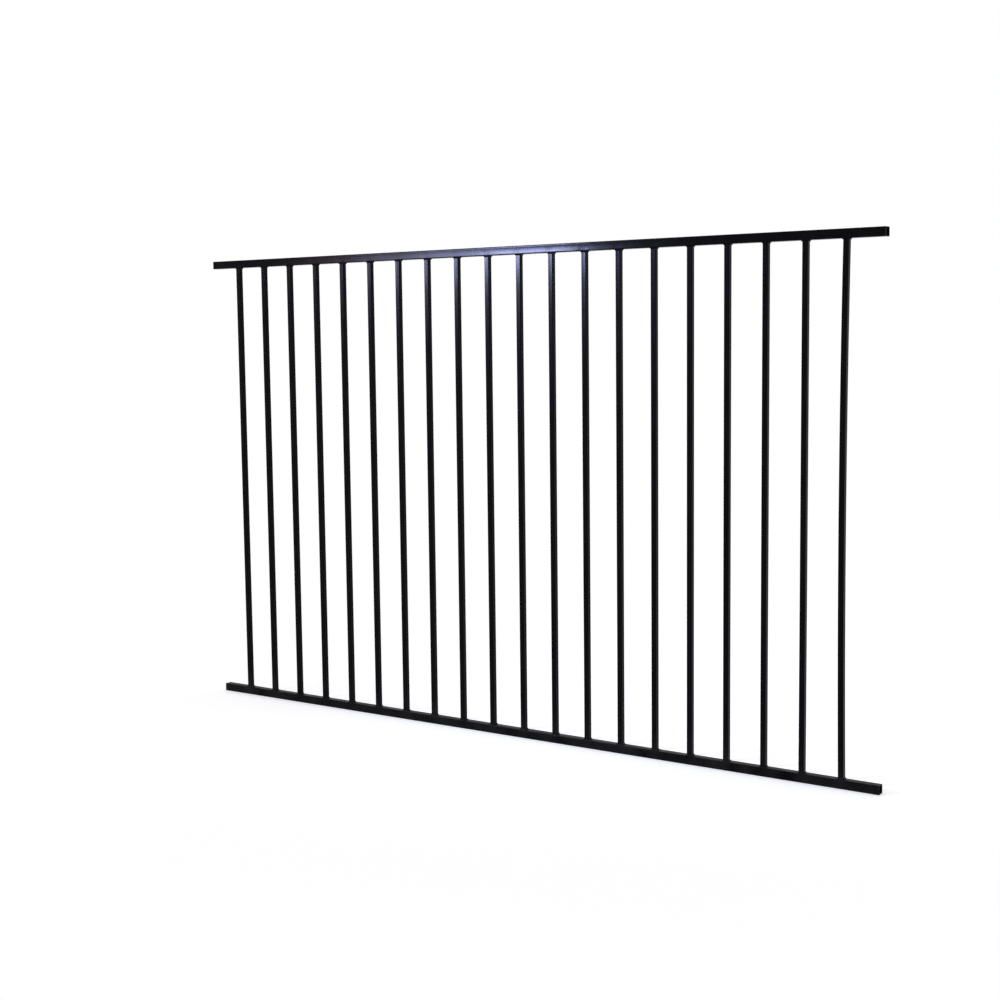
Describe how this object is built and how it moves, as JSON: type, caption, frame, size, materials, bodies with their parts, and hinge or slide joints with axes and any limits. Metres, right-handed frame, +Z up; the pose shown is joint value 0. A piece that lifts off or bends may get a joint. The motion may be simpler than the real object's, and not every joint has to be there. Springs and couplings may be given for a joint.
{
  "type": "steel fence panel",
  "caption": "Welded steel fence panel: level top and bottom rails of square tube, joined by an even row of upright square-tube pickets. Its bare rail ends fix to posts.",
  "frame": {"origin": "centre of the bottom rail's left end face, seen from the front, where a post bracket holds the panel", "axes": "+X along the rails to the right, +Y from the front to the back, +Z up along the pickets"},
  "size_m": [2.362, 0.0254, 1.473],
  "materials": {
    "black_powder_coat": "semi-gloss black powder coat with a faint blue cast"
  },
  "bodies": {
    "root": {"bottom_rail": "black_powder_coat", "top_rail": "black_powder_coat", "picket_01": "black_powder_coat", "picket_02": "black_powder_coat", "picket_03": "black_powder_coat", "picket_04": "black_powder_coat", "picket_05": "black_powder_coat", "picket_06": "black_powder_coat", "picket_07": "black_powder_coat", "picket_08": "black_powder_coat", "picket_09": "black_powder_coat", "picket_10": "black_powder_coat", "picket_11": "black_powder_coat", "picket_12": "black_powder_coat", "picket_13": "black_powder_coat", "picket_14": "black_powder_coat", "picket_15": "black_powder_coat", "picket_16": "black_powder_coat", "picket_17": "black_powder_coat", "picket_18": "black_powder_coat", "picket_19": "black_powder_coat", "picket_20": "black_powder_coat", "bottom_welds": "black_powder_coat", "top_welds": "black_powder_coat"}
  },
  "joints": []
}
